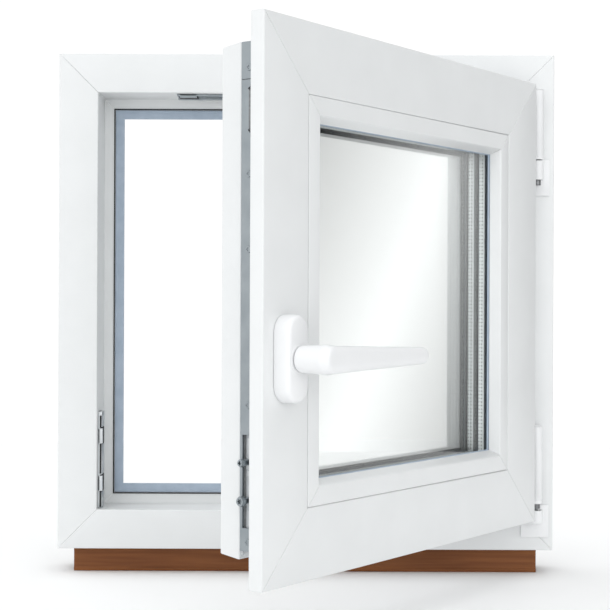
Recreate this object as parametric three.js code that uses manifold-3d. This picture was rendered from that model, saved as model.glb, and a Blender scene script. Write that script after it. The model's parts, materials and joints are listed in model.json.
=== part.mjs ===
// Tilt-and-turn window of hollow uPVC profiles: square outer frame, inward-opening sash with a
// triple-glazed unit, drive-gear hardware, two hinge corners and a sill connection profile.
// Millimetres. +X to the hinge side, +Y to the outside, +Z up.
// Origin: underside of the sill profile, midway along it, in the frame's middle depth plane.

import * as THREE from 'three';
import { mergeVertices } from 'three/addons/utils/BufferGeometryUtils.js';
import Module from 'manifold-3d';

// ---- driving dimensions -----------------------------------------------------------------------

const FRAME_SIZE = 520;
const DEPTH = 60;
const FRAME_FACE = 41;
const UPSTAND_THICK = 13;
const UPSTAND_TIP = 61.5;
const SILL_HEIGHT = 26;
const SILL_LENGTH = 490;
const SILL_FRONT = -15;
const SILL_BACK = 25;

const OVERLAP = 7;
const SASH_PROUD = 16;
const OVERLAP_GAP = 2.4;
const SASH_SIDE = 19;
const SASH_REAR_SIDE = 21.2;
const BEAD_OUTER = 59;
const BEAD_NOSE = 74;
const SIGHT_LINE = 80;
const BEAD_DEPTH = 10;

const PANE = 4;
const CAVITY = 8;
const GLASS_FRONT = 12.5;
const GLASS_EDGE = 65;
const SPACER_OUTER = 70;
const SPACER_INNER = 77;

const WALL = 3;
const GAP = 0.3;
const MITRE_GAP = 0.2;

const OPEN_ANGLE = THREE.MathUtils.degToRad(53.2);
const HINGE_BEYOND_SASH = 14.7;
const HINGE_BEFORE_FRAME = 9.3;
const KNUCKLE_R = 5.2;
const KNUCKLE_BORE_R = 3.3;
const HINGE_PIN_R = 3;
const COVER_R = 6.6;

const FACEPLATE_WIDE = 16;
const FACEPLATE_THICK = 2.2;
const FACEPLATE_FRONT = 22;
const GROOVE_FLOOR = 29;
const ROD_CENTRE = 32;
const ROD_WIDE = 5;
const ROD_THICK = 2.4;
const ROD_STROKE = 18;
const CAM_TIP = 11.5;

const HANDLE_HEIGHT = 214.5;
const HANDLE_BACKSET = 27.3;
const HANDLE_REACH = 137;
const ROSETTE_WIDE = 28;
const ROSETTE_TALL = 70;
const ROSETTE_THICK = 16;
const GRIP_BACK = 40.5;
const GRIP_FRONT = 51.5;
const SPINDLE = 7;

const STAY_REACH = 160;
const STAY_PIN_R = 3.5;
const ARM_LIFT = 1.9;
const ARM_THICK = 3;
const ARM_WIDE = 12;

// ---- derived places ---------------------------------------------------------------------------

const FRAME_FRONT = -DEPTH / 2;
const FRAME_BACK = DEPTH / 2;
const UPSTAND_FRONT = FRAME_BACK - UPSTAND_THICK;
const CENTRE_Z = SILL_HEIGHT + FRAME_SIZE / 2;
const FRAME_HALF = FRAME_SIZE / 2;
const SASH_EDGE = FRAME_FACE - OVERLAP;
const SASH_HALF = FRAME_HALF - SASH_EDGE;
const SASH_FRONT = FRAME_FRONT - SASH_PROUD;
const SASH_BACK = SASH_FRONT + DEPTH;
const LIP_BACK = FRAME_FRONT - OVERLAP_GAP;
const HINGE_X = SASH_HALF + HINGE_BEYOND_SASH;
const HINGE_Y = FRAME_FRONT - HINGE_BEFORE_FRAME;
const GLASS_BACK = GLASS_FRONT + 3 * PANE + 2 * CAVITY;
const OUTER_LIP_FRONT = GLASS_BACK + 2.7;
const FACEPLATE_BACK = FACEPLATE_FRONT + FACEPLATE_WIDE;
const LOCK_SIDE_X = -SASH_HALF + SASH_SIDE;
const HINGE_SIDE_X = SASH_HALF - SASH_SIDE;
const SASH_TOP_Z = CENTRE_Z + SASH_HALF - SASH_SIDE;

const depthY = (fromSashFront) => SASH_FRONT + fromSashFront;
const heightZ = (fromFrameBottom) => SILL_HEIGHT + fromFrameBottom;

// ---- materials --------------------------------------------------------------------------------

const finish = (color, roughness, metalness = 0) => ({ color, roughness, metalness });
const WHITE_PVC = finish(0xeef0f2, 0.35);
const SEAL = finish(0x9babb9, 0.8);
const BLACK_RUBBER = finish(0x24262a, 0.85);
const BROWN_PVC = finish(0x6e4530, 0.55);
const ZINC = finish(0xa9b2b6, 0.35, 1);
const GALVANISED = finish(0x9aa3a8, 0.5, 1);
const DARK_STEEL = finish(0x4a4e52, 0.5, 1);
const ALUMINIUM = finish(0xc6cacc, 0.4, 1);
const GLASS = finish(0xd6e4e0, 0.05);
const BLOCK_PLASTIC = finish(0x3f6f9a, 0.6);

// ---- solid helpers ----------------------------------------------------------------------------

const wasm = await Module();
wasm.setup();

/** Keeps only welded positions, with every face pointing out. */
function tidy(geometry) {
  const plain = geometry.index ? geometry.toNonIndexed() : geometry.clone();
  plain.deleteAttribute('normal');
  plain.deleteAttribute('uv');
  const welded = mergeVertices(plain, 1e-4);
  if (volumeOf(welded) < 0) {
    welded.index.array.reverse();
  }
  return welded;
}

function volumeOf(geometry) {
  const position = geometry.attributes.position;
  const index = geometry.index.array;
  const corner = [new THREE.Vector3(), new THREE.Vector3(), new THREE.Vector3()];
  let volume = 0;
  for (let i = 0; i < index.length; i += 3) {
    corner.forEach((point, k) => point.fromBufferAttribute(position, index[i + k]));
    volume += corner[0].dot(corner[1].cross(corner[2])) / 6;
  }
  return volume;
}

function toManifold(geometry) {
  const welded = tidy(geometry);
  const mesh = new wasm.Mesh({
    numProp: 3,
    vertProperties: new Float32Array(welded.attributes.position.array),
    triVerts: new Uint32Array(welded.index.array),
  });
  return new wasm.Manifold(mesh);
}

function fromManifold(solid) {
  const mesh = solid.getMesh();
  const geometry = new THREE.BufferGeometry();
  geometry.setAttribute('position', new THREE.BufferAttribute(mesh.vertProperties, 3));
  geometry.setIndex(new THREE.BufferAttribute(mesh.triVerts, 1));
  return geometry;
}

function join(...geometries) {
  const solids = geometries.map(toManifold);
  return fromManifold(solids.reduce((whole, piece) => whole.add(piece)));
}

function cut(geometry, ...tools) {
  const solids = tools.map(toManifold);
  return fromManifold(solids.reduce((rest, tool) => rest.subtract(tool), toManifold(geometry)));
}

function common(first, second) {
  return fromManifold(toManifold(first).intersect(toManifold(second)));
}

function block(x0, x1, y0, y1, z0, z1) {
  const geometry = new THREE.BoxGeometry(x1 - x0, y1 - y0, z1 - z0);
  return geometry.translate((x0 + x1) / 2, (y0 + y1) / 2, (z0 + z1) / 2);
}

/** Upright cylinder between two heights. */
function post(x, y, radius, z0, z1, sides = 24) {
  const geometry = new THREE.CylinderGeometry(radius, radius, z1 - z0, sides);
  return geometry.rotateX(Math.PI / 2).translate(x, y, (z0 + z1) / 2);
}

/** Cylinder along the depth. */
function boss(x, z, radius, y0, y1, sides = 24) {
  const geometry = new THREE.CylinderGeometry(radius, radius, y1 - y0, sides);
  return geometry.translate(x, (y0 + y1) / 2, z);
}

/** Cylinder along the width. */
function stub(y, z, radius, x0, x1, sides = 20) {
  const geometry = new THREE.CylinderGeometry(radius, radius, x1 - x0, sides);
  return geometry.rotateZ(Math.PI / 2).translate((x0 + x1) / 2, y, z);
}

/** Outline in the XZ plane, thickened from y0 to y1. */
function slab(outline, y0, y1, holes = []) {
  const shape = new THREE.Shape(outline.map(([x, z]) => new THREE.Vector2(x, z)));
  shape.holes = holes;
  const geometry = new THREE.ExtrudeGeometry(shape, { depth: y1 - y0, bevelEnabled: false });
  return geometry.rotateX(Math.PI / 2).translate(0, y1, 0);
}

/** Turned part about the hinge axis: pairs of radius and height, closed on themselves or on it. */
function turned(pairs, sides = 24) {
  const profile = pairs.map(([radius, z]) => new THREE.Vector2(radius, z));
  return new THREE.LatheGeometry(profile, sides).rotateX(Math.PI / 2).translate(HINGE_X, HINGE_Y, 0);
}

/** Upright tube on the hinge axis. */
function sleeve(inner, outer, z0, z1, sides = 24) {
  return turned([[inner, z0], [outer, z0], [outer, z1], [inner, z1], [inner, z0]], sides);
}

function named(name, geometry, look) {
  const mesh = new THREE.Mesh(tidy(geometry), new THREE.MeshStandardMaterial(look));
  mesh.name = name;
  return mesh;
}

// ---- mitred members and rings -----------------------------------------------------------------

const rectangle = (a0, a1, d0, d1) => [[a0, d0], [a1, d0], [a1, d1], [a0, d1]];
const toPath = (points) => new THREE.Path(points.map(([a, d]) => new THREE.Vector2(a, d)));

/** Bottom member of a square: section points are (inward from the outer edge, depth). */
function mitredMember(section, chambers, half) {
  const shape = new THREE.Shape(section.map(([a, d]) => new THREE.Vector2(a, d)));
  shape.holes = chambers.map(toPath);
  const geometry = new THREE.ExtrudeGeometry(shape, { depth: 1, bevelEnabled: false });
  const position = geometry.attributes.position;
  for (let i = 0; i < position.count; i += 1) {
    const inward = position.getX(i);
    const depth = position.getY(i);
    const end = 1 - 2 * position.getZ(i);
    position.setXYZ(i, end * (half - inward - MITRE_GAP), depth, inward - half);
  }
  return geometry;
}

const SIDES = ['bottom', 'left', 'top', 'right'];

/** Turns bottom-member geometry to one of the four sides, centred on the frame. */
function onSide(geometry, side) {
  const turns = SIDES.indexOf(side);
  return geometry.clone().rotateY((turns * Math.PI) / 2).translate(0, 0, CENTRE_Z);
}

function fourSides(prefix, geometry, look) {
  return SIDES.map((side) => named(`${prefix}_${side}`, onSide(geometry, side), look));
}

/** Square ring with mitred corners: the section is (inward from the outer edge, depth). */
function squareRing(section, half) {
  const closed = [...section, section[0]];
  const profile = closed.map(([a, d]) => new THREE.Vector2((half - a) * Math.SQRT2, d));
  const geometry = new THREE.LatheGeometry(profile, 4);
  return geometry.rotateY(Math.PI / 4).translate(0, 0, CENTRE_Z);
}

/** Straight box tube inside a member, open at both ends. */
function reinforcement(a0, a1, d0, d1, half, endSpace) {
  const steelWall = 1.5;
  const outer = rectangle(a0, a1, d0, d1);
  const inner = rectangle(a0 + steelWall, a1 - steelWall, d0 + steelWall, d1 - steelWall);
  const shape = new THREE.Shape(outer.map(([a, d]) => new THREE.Vector2(a, d)));
  shape.holes = [toPath(inner)];
  const length = 2 * (half - endSpace);
  const geometry = new THREE.ExtrudeGeometry(shape, { depth: length, bevelEnabled: false });
  const axes = new THREE.Matrix4().makeBasis(
    new THREE.Vector3(0, 0, 1), new THREE.Vector3(0, 1, 0), new THREE.Vector3(-1, 0, 0));
  return geometry.applyMatrix4(axes).translate(length / 2, 0, -half);
}

// ---- outer frame ------------------------------------------------------------------------------

function frameMembers() {
  const grooveHalf = 2;
  const grooveDepth = 2.5;
  const grooveAt = 15;
  const grooves = [grooveAt, -grooveAt].flatMap((d) => [
    [0, d + grooveHalf], [grooveDepth, d + grooveHalf], [grooveDepth, d - grooveHalf], [0, d - grooveHalf],
  ]);
  const section = [
    [0, FRAME_FRONT], [FRAME_FACE, FRAME_FRONT], [FRAME_FACE, UPSTAND_FRONT],
    [UPSTAND_TIP, UPSTAND_FRONT], [UPSTAND_TIP, FRAME_BACK], [0, FRAME_BACK], ...grooves,
  ];
  const inside = FRAME_FACE - WALL;
  const chambers = [
    rectangle(11, inside, -17.6, 14.4),
    rectangle(WALL, inside, FRAME_FRONT + WALL, -20),
    rectangle(WALL, 37, 20, FRAME_BACK - WALL),
    rectangle(40, UPSTAND_TIP - WALL, 20.4, FRAME_BACK - WALL - 0.4),
    rectangle(5, 8.5, -11.2, 10.8),
  ];
  return fourSides('frame', mitredMember(section, chambers, FRAME_HALF), WHITE_PVC);
}

function frameSteels() {
  const geometry = reinforcement(12, 37, -16, 13, FRAME_HALF, 42);
  return fourSides('frame_steel', geometry, GALVANISED);
}

function frameGasket() {
  const back = UPSTAND_FRONT - GAP;
  const front = SASH_BACK + 0.5;
  const section = [[53, back], [54, front + 0.6], [57, front], [61, front + 0.4], [63, front + 1.4], [63, back]];
  return named('frame_gasket', squareRing(section, FRAME_HALF), SEAL);
}

/** Hollow profile under the frame, with two bays open at both ends. */
function sillProfile() {
  const top = SILL_HEIGHT - GAP;
  const rib = 2.5;
  const middle = (SILL_FRONT + SILL_BACK) / 2;
  const reach = SILL_LENGTH / 2;
  const bays = [[SILL_FRONT + rib, middle - rib / 2], [middle + rib / 2, SILL_BACK - rib]];
  const hollows = bays.map(([y0, y1]) => block(-reach - 1, reach + 1, y0, y1, rib, top - rib));
  const body = block(-reach, reach, SILL_FRONT, SILL_BACK, 0, top);
  return named('sill_profile', cut(body, ...hollows), BROWN_PVC);
}

const KEEP_FRONT = FRAME_FRONT + 7;
const KEEP_BACK = FRAME_FRONT + 27;
const KEEP_BASE = 1.6;
const KEEP_TALL = 3.7;

/** Tilt keep on the lock side: base plate, back wall and two short tabs towards the room. */
function tiltKeep() {
  const x0 = -FRAME_HALF + FRAME_FACE + GAP;
  const tabs = [[59, 76], [109, 126]];
  const base = block(x0, x0 + KEEP_BASE, KEEP_FRONT, KEEP_BACK, heightZ(41.5), heightZ(143));
  const wall = block(x0, x0 + KEEP_TALL, KEEP_BACK - 3, KEEP_BACK, heightZ(41.5), heightZ(143));
  const tab = ([low, high]) => block(
    x0, x0 + KEEP_TALL, KEEP_FRONT, KEEP_FRONT + 4, heightZ(low), heightZ(high));
  return named('tilt_keep', join(base, wall, ...tabs.map(tab)), ZINC);
}

/** Locking keep under the top member. */
function topKeep() {
  const z1 = heightZ(FRAME_SIZE - FRAME_FACE) - GAP;
  const base = block(-137, -78, KEEP_FRONT, KEEP_BACK, z1 - KEEP_BASE, z1);
  const wall = block(-137, -78, KEEP_BACK - 3, KEEP_BACK, z1 - KEEP_TALL, z1);
  const tab = block(-134, -116, KEEP_FRONT, KEEP_FRONT + 4, z1 - KEEP_TALL, z1);
  return named('top_keep', join(base, wall, tab), ZINC);
}

// ---- hinge parts held by the frame ------------------------------------------------------------

const PLATE_FRONT = FRAME_FRONT - 2.3;
const PLATE_BACK = FRAME_FRONT - GAP;
const WEB_HALF = 3.2;
const CUP_LOW = 31;
const CUP_HIGH = 43;
const BALL_HEIGHT = 37;

function hingePlate(low, high) {
  return block(HINGE_X - 14.5, HINGE_X + 14.5, PLATE_FRONT, PLATE_BACK, heightZ(low), heightZ(high));
}

function hingeWeb(low, high) {
  return block(
    HINGE_X - WEB_HALF, HINGE_X + WEB_HALF, HINGE_Y + 3.8, PLATE_FRONT + 1, heightZ(low), heightZ(high));
}

/** White shell round a knuckle, open at the back where the knuckle's web leaves it. */
function hingeCover(name, low, high, openingHalf) {
  const shell = sleeve(KNUCKLE_R + GAP, COVER_R, heightZ(low), heightZ(high), 32);
  const opening = block(
    HINGE_X - openingHalf, HINGE_X + openingHalf, HINGE_Y + 1, HINGE_Y + 20,
    heightZ(low) - 1, heightZ(high) + 1);
  const back = block(
    HINGE_X - 20, HINGE_X + 20, PLATE_FRONT - GAP, HINGE_Y + 20, heightZ(low) - 1, heightZ(high) + 1);
  return named(name, cut(shell, opening, back), WHITE_PVC);
}

function cornerBearing() {
  const cup = post(HINGE_X, HINGE_Y, 5.9, heightZ(CUP_LOW), heightZ(CUP_HIGH));
  const socket = post(HINGE_X, HINGE_Y, 4.6, heightZ(32.4), heightZ(CUP_HIGH) + 1);
  const body = join(cup, hingePlate(14, 48), hingeWeb(CUP_LOW, CUP_HIGH));
  return named('corner_bearing', cut(body, socket), ZINC);
}

function cornerBearingCap() {
  const outer = 7.3;
  const inner = 6.2;
  const low = heightZ(30);
  const high = heightZ(CUP_HIGH + 0.8);
  const floor = heightZ(CUP_LOW) - GAP;
  const shell = turned([[0, low], [outer, low], [outer, high], [inner, high], [inner, floor], [0, floor]], 32);
  const opening = block(
    HINGE_X - WEB_HALF - 0.6, HINGE_X + WEB_HALF + 0.6, HINGE_Y + 1, HINGE_Y + 20, floor, high + 1);
  const back = block(HINGE_X - 20, HINGE_X + 20, PLATE_FRONT - GAP, HINGE_Y + 20, low - 1, high + 1);
  return named('corner_bearing_cap', cut(shell, opening, back), WHITE_PVC);
}

function stayBearing() {
  const knuckle = post(HINGE_X, HINGE_Y, KNUCKLE_R, heightZ(388), heightZ(408));
  const bore = post(HINGE_X, HINGE_Y, KNUCKLE_BORE_R, heightZ(380), heightZ(420));
  const body = join(knuckle, hingePlate(372, 410), hingeWeb(388, 408));
  return named('stay_bearing', cut(body, bore), ZINC);
}

function stayBearingPin() {
  const low = heightZ(382.5);
  const head = heightZ(387.5);
  const high = heightZ(481);
  const profile = [[0, low], [3.8, low], [3.8, head], [HINGE_PIN_R, head], [HINGE_PIN_R, high], [0, high]];
  return named('stay_bearing_pin', turned(profile), DARK_STEEL);
}

// ---- parts that turn with the sash but do not tilt --------------------------------------------

/** Ball in the corner bearing's socket, with a mouth for the sash's pivot pin. */
function pivotBall() {
  const centre = heightZ(BALL_HEIGHT);
  const ball = new THREE.SphereGeometry(4.2, 24, 16).rotateX(Math.PI / 2).translate(HINGE_X, HINGE_Y, centre);
  const mouth = post(HINGE_X, HINGE_Y, 3, centre - 2.2, centre + 10);
  return named('corner_pivot_ball', cut(ball, mouth), DARK_STEEL);
}

const FLANGE_FRONT = LIP_BACK + 0.4;
const FLANGE_BACK = FRAME_FRONT - 0.4;

/** Stay arm: knuckle, flange behind the sash lip, flat arm over the sash and the guide pin. */
function stayArm() {
  const low = SASH_TOP_Z + ARM_LIFT;
  const high = low + ARM_THICK;
  const flangeHigh = low + 6.4;
  const pinX = HINGE_X - STAY_REACH;
  const pinY = depthY(FACEPLATE_FRONT + FACEPLATE_WIDE / 2);
  const rootX = HINGE_SIDE_X + 9;
  const knuckle = post(HINGE_X, HINGE_Y, KNUCKLE_R, heightZ(409), heightZ(480.4));
  const bore = post(HINGE_X, HINGE_Y, KNUCKLE_BORE_R, heightZ(400), heightZ(490));
  const web = block(HINGE_X - 4.4, HINGE_X - 0.8, HINGE_Y + 3, FLANGE_BACK, low, flangeHigh);
  const flange = block(HINGE_SIDE_X + 1, HINGE_X - 1, FLANGE_FRONT, FLANGE_BACK, low, flangeHigh);
  const outline = new THREE.Shape();
  outline.moveTo(rootX, FLANGE_FRONT);
  outline.lineTo(rootX, FLANGE_FRONT + ARM_WIDE);
  outline.lineTo(pinX, pinY + ARM_WIDE / 2);
  outline.absarc(pinX, pinY, ARM_WIDE / 2, Math.PI / 2, (3 * Math.PI) / 2, false);
  outline.closePath();
  const strip = new THREE.ExtrudeGeometry(outline, { depth: ARM_THICK, bevelEnabled: false, curveSegments: 8 });
  strip.translate(0, 0, low);
  const pin = post(pinX, pinY, STAY_PIN_R, SASH_TOP_Z - 3.5, high - 0.5);
  return named('stay_arm', cut(join(knuckle, web, flange, strip, pin), bore), ZINC);
}

// ---- sash members -----------------------------------------------------------------------------

const D = depthY;

function sashSection() {
  const seat = SASH_SIDE + FACEPLATE_THICK + 0.2;
  return [
    [0, SASH_FRONT], [BEAD_OUTER, SASH_FRONT], [BEAD_OUTER, D(OUTER_LIP_FRONT)],
    [SIGHT_LINE, D(OUTER_LIP_FRONT)], [SIGHT_LINE, SASH_BACK - 3], [SIGHT_LINE - 3, SASH_BACK],
    [SASH_REAR_SIDE, SASH_BACK], [SASH_SIDE, D(FACEPLATE_BACK + 2)],
    [SASH_SIDE, D(FACEPLATE_BACK)], [seat, D(FACEPLATE_BACK)], [seat, D(FACEPLATE_BACK - 1)],
    [GROOVE_FLOOR, D(FACEPLATE_BACK - 1)], [GROOVE_FLOOR, D(FACEPLATE_FRONT + 1)],
    [seat, D(FACEPLATE_FRONT + 1)], [seat, D(FACEPLATE_FRONT)], [SASH_SIDE, D(FACEPLATE_FRONT)],
    [SASH_SIDE, LIP_BACK], [0, LIP_BACK],
  ];
}

function sashChambers() {
  const rebate = BEAD_OUTER - WALL;
  return [
    rectangle(WALL, 15.5, D(WALL + 0.3), LIP_BACK - 2.8),
    rectangle(19, rebate, D(WALL), D(11)),
    rectangle(35, rebate, D(14), D(40)),
    rectangle(24.5, rebate, D(43), SASH_BACK - WALL),
    rectangle(BEAD_OUTER + 1, SIGHT_LINE - 4, D(OUTER_LIP_FRONT + WALL), SASH_BACK - WALL - 1),
  ];
}

const HANDLE_X = -SASH_HALF + HANDLE_BACKSET;
const HANDLE_Z = heightZ(HANDLE_HEIGHT);

function sashMembers() {
  const member = mitredMember(sashSection(), sashChambers(), SASH_HALF);
  const meshes = fourSides('sash', member, WHITE_PVC);
  const left = meshes[SIDES.indexOf('left')];
  const gearPocket = block(
    LOCK_SIDE_X + 8, -SASH_HALF + 34, D(FACEPLATE_FRONT + 1), D(FACEPLATE_BACK - 1),
    HANDLE_Z - 31, HANDLE_Z + 31);
  const spindleHole = boss(HANDLE_X, HANDLE_Z, 6, SASH_FRONT - 1, D(FACEPLATE_FRONT + 3));
  left.geometry = tidy(cut(left.geometry, gearPocket, spindleHole));
  return meshes;
}

function sashSteels() {
  const geometry = reinforcement(35.8, 55.2, D(15), D(39), SASH_HALF, 60);
  return fourSides('sash_steel', geometry, GALVANISED);
}

function glazingBeads() {
  const base = BEAD_OUTER + GAP;
  const section = [
    [base, SASH_FRONT], [BEAD_NOSE, SASH_FRONT], [BEAD_NOSE + 1.4, D(1.2)],
    [SIGHT_LINE, D(BEAD_DEPTH)], [base, D(BEAD_DEPTH)],
  ];
  const chamber = [[base + 2, D(2)], [BEAD_NOSE - 2, D(2)], [BEAD_NOSE + 1, D(8)], [base + 2, D(8)]];
  return fourSides('glazing_bead', mitredMember(section, [chamber], SASH_HALF), WHITE_PVC);
}

/** Seal on the back of the sash lip, interrupted where the two hinge flanges pass. */
function overlapGaskets() {
  const front = LIP_BACK + 0.25;
  const back = FRAME_FRONT - 0.4;
  const section = [[3, front], [9, front], [8, back], [4, back]];
  const ring = squareRing(section, SASH_HALF);
  const stretch = (low, high) => block(
    SASH_HALF - 12, SASH_HALF, front - 1, back + 1, heightZ(low), heightZ(high));
  return [
    named('overlap_gasket', cut(ring, stretch(48, 476.6)), SEAL),
    named('overlap_gasket_between_hinges', common(ring, stretch(134, 464)), SEAL),
  ];
}

function glazingGaskets() {
  const inner = [[73, D(BEAD_DEPTH) + GAP], [SIGHT_LINE - 0.4, D(BEAD_DEPTH) + GAP],
    [SIGHT_LINE + 0.6, D(GLASS_FRONT) - GAP], [73, D(GLASS_FRONT) - GAP]];
  const outer = [[73, D(GLASS_BACK) + GAP], [SIGHT_LINE + 0.6, D(GLASS_BACK) + GAP],
    [SIGHT_LINE - 0.4, D(OUTER_LIP_FRONT) - GAP], [73, D(OUTER_LIP_FRONT) - GAP]];
  return [
    named('glazing_gasket_room_side', squareRing(inner, SASH_HALF), BLACK_RUBBER),
    named('glazing_gasket_outside', squareRing(outer, SASH_HALF), BLACK_RUBBER),
  ];
}

function glazing() {
  const half = SASH_HALF - GLASS_EDGE;
  const clear = 0.05;
  const pitch = PANE + CAVITY;
  const panes = ['room_side', 'middle', 'outside'].map((place, i) => {
    const front = D(GLASS_FRONT + i * pitch);
    const pane = block(-half, half, front, front + PANE, CENTRE_Z - half, CENTRE_Z + half);
    return named(`glass_pane_${place}`, pane, GLASS);
  });
  const spacers = ['room_side', 'outside'].map((place, i) => {
    const front = D(GLASS_FRONT + PANE + i * pitch) + clear;
    const back = front + CAVITY - 2 * clear;
    const section = rectangle(SPACER_OUTER, SPACER_INNER, front, back);
    return named(`glass_spacer_${place}`, squareRing(section, SASH_HALF), ALUMINIUM);
  });
  return [...panes, ...spacers];
}

function settingBlocks() {
  const low = CENTRE_Z - SASH_HALF + BEAD_OUTER + GAP;
  const high = CENTRE_Z - SASH_HALF + GLASS_EDGE - GAP;
  return [['lock_side', -115], ['hinge_side', 115]].map(([place, x]) => {
    const piece = block(x - 35, x + 35, D(GLASS_FRONT + 1), D(GLASS_BACK - 1), low, high);
    return named(`setting_block_${place}`, piece, BLOCK_PLASTIC);
  });
}

// ---- hardware in the sash groove --------------------------------------------------------------

const PLATE_Y0 = D(FACEPLATE_FRONT + 0.2);
const PLATE_Y1 = D(FACEPLATE_BACK - 0.2);
const LEVER_Y0 = D(23.6);
const LEVER_Y1 = D(28);
const SIDE_CAMS = [[100.5, 4.3], [131, 3.4]];
const TOP_CAM_X = -100;
const SLOT_HALF = 3.4;

function lockFaceplate() {
  const plate = block(
    LOCK_SIDE_X, LOCK_SIDE_X + FACEPLATE_THICK, PLATE_Y0, PLATE_Y1, heightZ(60), heightZ(436.5));
  const window = (y0, y1, low, high) => block(
    LOCK_SIDE_X - 1, LOCK_SIDE_X + FACEPLATE_THICK + 1, y0, y1, heightZ(low), heightZ(high));
  const camSlot = window(
    D(ROD_CENTRE - SLOT_HALF), D(ROD_CENTRE + SLOT_HALF),
    SIDE_CAMS[0][0] - ROD_STROKE - 4, SIDE_CAMS[1][0] + ROD_STROKE + 4);
  const leverSlot = window(D(23.1), D(28.6), 390, 433);
  return named('lock_faceplate', cut(plate, camSlot, leverSlot), ZINC);
}

function topFaceplate() {
  const z1 = SASH_TOP_Z;
  const plate = block(-149.5, 59, PLATE_Y0, PLATE_Y1, z1 - FACEPLATE_THICK, z1);
  const reach = ROD_STROKE + 4;
  const camSlot = block(
    TOP_CAM_X - reach, TOP_CAM_X + reach, D(ROD_CENTRE - SLOT_HALF), D(ROD_CENTRE + SLOT_HALF),
    z1 - FACEPLATE_THICK - 1, z1 + 1);
  return named('top_faceplate', cut(plate, camSlot), ZINC);
}

function cornerDrive() {
  const x0 = LOCK_SIDE_X;
  const z1 = SASH_TOP_Z;
  const t = FACEPLATE_THICK;
  const low = heightZ(437);
  const outline = [[x0, z1], [x0, low], [x0 + t, low], [x0 + t, z1 - t], [-150, z1 - t], [-150, z1]];
  return named('corner_drive', slab(outline, PLATE_Y0, PLATE_Y1), ZINC);
}

/** Rail on top of the sash: the stay arm's guide pin runs in its slot. */
function stayRail() {
  const z1 = SASH_TOP_Z;
  const y = D(FACEPLATE_FRONT + FACEPLATE_WIDE / 2);
  const plate = block(59.5, 190, PLATE_Y0, PLATE_Y1, z1 - FACEPLATE_THICK, z1);
  const pinX = HINGE_X - STAY_REACH;
  const slot = block(pinX - 6.6, pinX + 6.6, y - 4.3, y + 4.3, z1 - FACEPLATE_THICK - 1, z1 + 1);
  return named('stay_rail', cut(plate, slot), ZINC);
}

function gearbox() {
  const housing = block(
    -SASH_HALF + 21.6, -SASH_HALF + 33.5, D(23.3), D(29), HANDLE_Z - 28, HANDLE_Z + 28);
  const follower = boss(HANDLE_X, HANDLE_Z, SPINDLE * 0.75, D(20), D(32), 28);
  return named('gearbox', cut(housing, follower), ZINC);
}

function cornerHinge() {
  const tube = sleeve(KNUCKLE_BORE_R, KNUCKLE_R, heightZ(50.3), heightZ(131));
  const web = block(HINGE_X - 4.4, HINGE_X - 0.8, HINGE_Y + 3.9, FLANGE_BACK, heightZ(55), heightZ(127));
  const flange = block(HINGE_SIDE_X + GAP, HINGE_X - 1, FLANGE_FRONT, FLANGE_BACK, heightZ(52), heightZ(130));
  const leg = block(
    HINGE_SIDE_X + GAP, HINGE_SIDE_X + 2.3, FLANGE_FRONT, D(FACEPLATE_BACK), heightZ(52), heightZ(130));
  return named('corner_hinge', join(tube, web, flange, leg), ZINC);
}

function pivotPin() {
  const pairs = [[2.1, 35.6], [2.1, 45.5], [4.3, 45.5], [4.3, 50], [HINGE_PIN_R, 50], [HINGE_PIN_R, 129]];
  const profile = pairs.map(([radius, height]) => [radius, heightZ(height)]);
  const ends = [[0, heightZ(35.6)], ...profile, [0, heightZ(129)]];
  return named('corner_pivot_pin', turned(ends), DARK_STEEL);
}

// ---- driven parts -----------------------------------------------------------------------------

const ROD_A0 = SASH_SIDE + FACEPLATE_THICK + 1;

function sideRod() {
  const x0 = -SASH_HALF + ROD_A0;
  const y = D(ROD_CENTRE);
  return named('side_drive_rod', block(
    x0, x0 + ROD_THICK, y - ROD_WIDE / 2, y + ROD_WIDE / 2, heightZ(72), heightZ(415)), GALVANISED);
}

/** Locking cam riveted on the side rod: stem through the faceplate slot and a wider head. */
function sideCam(name, [height, radius]) {
  const rodX = -SASH_HALF + ROD_A0;
  const y = D(ROD_CENTRE);
  const stem = stub(y, heightZ(height), 2.6, LOCK_SIDE_X - 1, rodX - GAP);
  const head = stub(y, heightZ(height), radius, -SASH_HALF + CAM_TIP, LOCK_SIDE_X - 0.5, 24);
  return named(name, join(stem, head), ZINC);
}

function topRod() {
  const rodTop = SASH_TOP_Z - FACEPLATE_THICK - 1;
  const y = D(ROD_CENTRE);
  const strip = block(-160, 30, y - ROD_WIDE / 2, y + ROD_WIDE / 2, rodTop - ROD_THICK, rodTop);
  const stem = post(TOP_CAM_X, y, 2.6, rodTop - 1, SASH_TOP_Z + 1);
  const head = post(TOP_CAM_X, y, 3.8, SASH_TOP_Z + 0.5, SASH_TOP_Z + SASH_SIDE - CAM_TIP);
  return named('top_drive_rod', join(strip, stem, head), GALVANISED);
}

const LEVER_PIVOT_X = LOCK_SIDE_X + 5;
const LEVER_PIVOT_HEIGHT = 428;

/** Rocking lever that blocks the handle while the sash is open. */
function mishandlingLever() {
  const z = heightZ(LEVER_PIVOT_HEIGHT);
  const x = LEVER_PIVOT_X;
  const outline = [
    [x + 2.4, z + 2.4], [x - 2.4, z + 2.4], [x - 4, z - 6], [x - 9.6, z - 29], [x - 10, z - 34],
    [x - 7.4, z - 35], [x - 4.6, z - 31], [x + 2.4, z - 4],
  ];
  return named('mishandling_lever', slab(outline, LEVER_Y0, LEVER_Y1), ZINC);
}

// ---- handle -----------------------------------------------------------------------------------

const N = (proud) => SASH_FRONT - proud;

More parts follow.
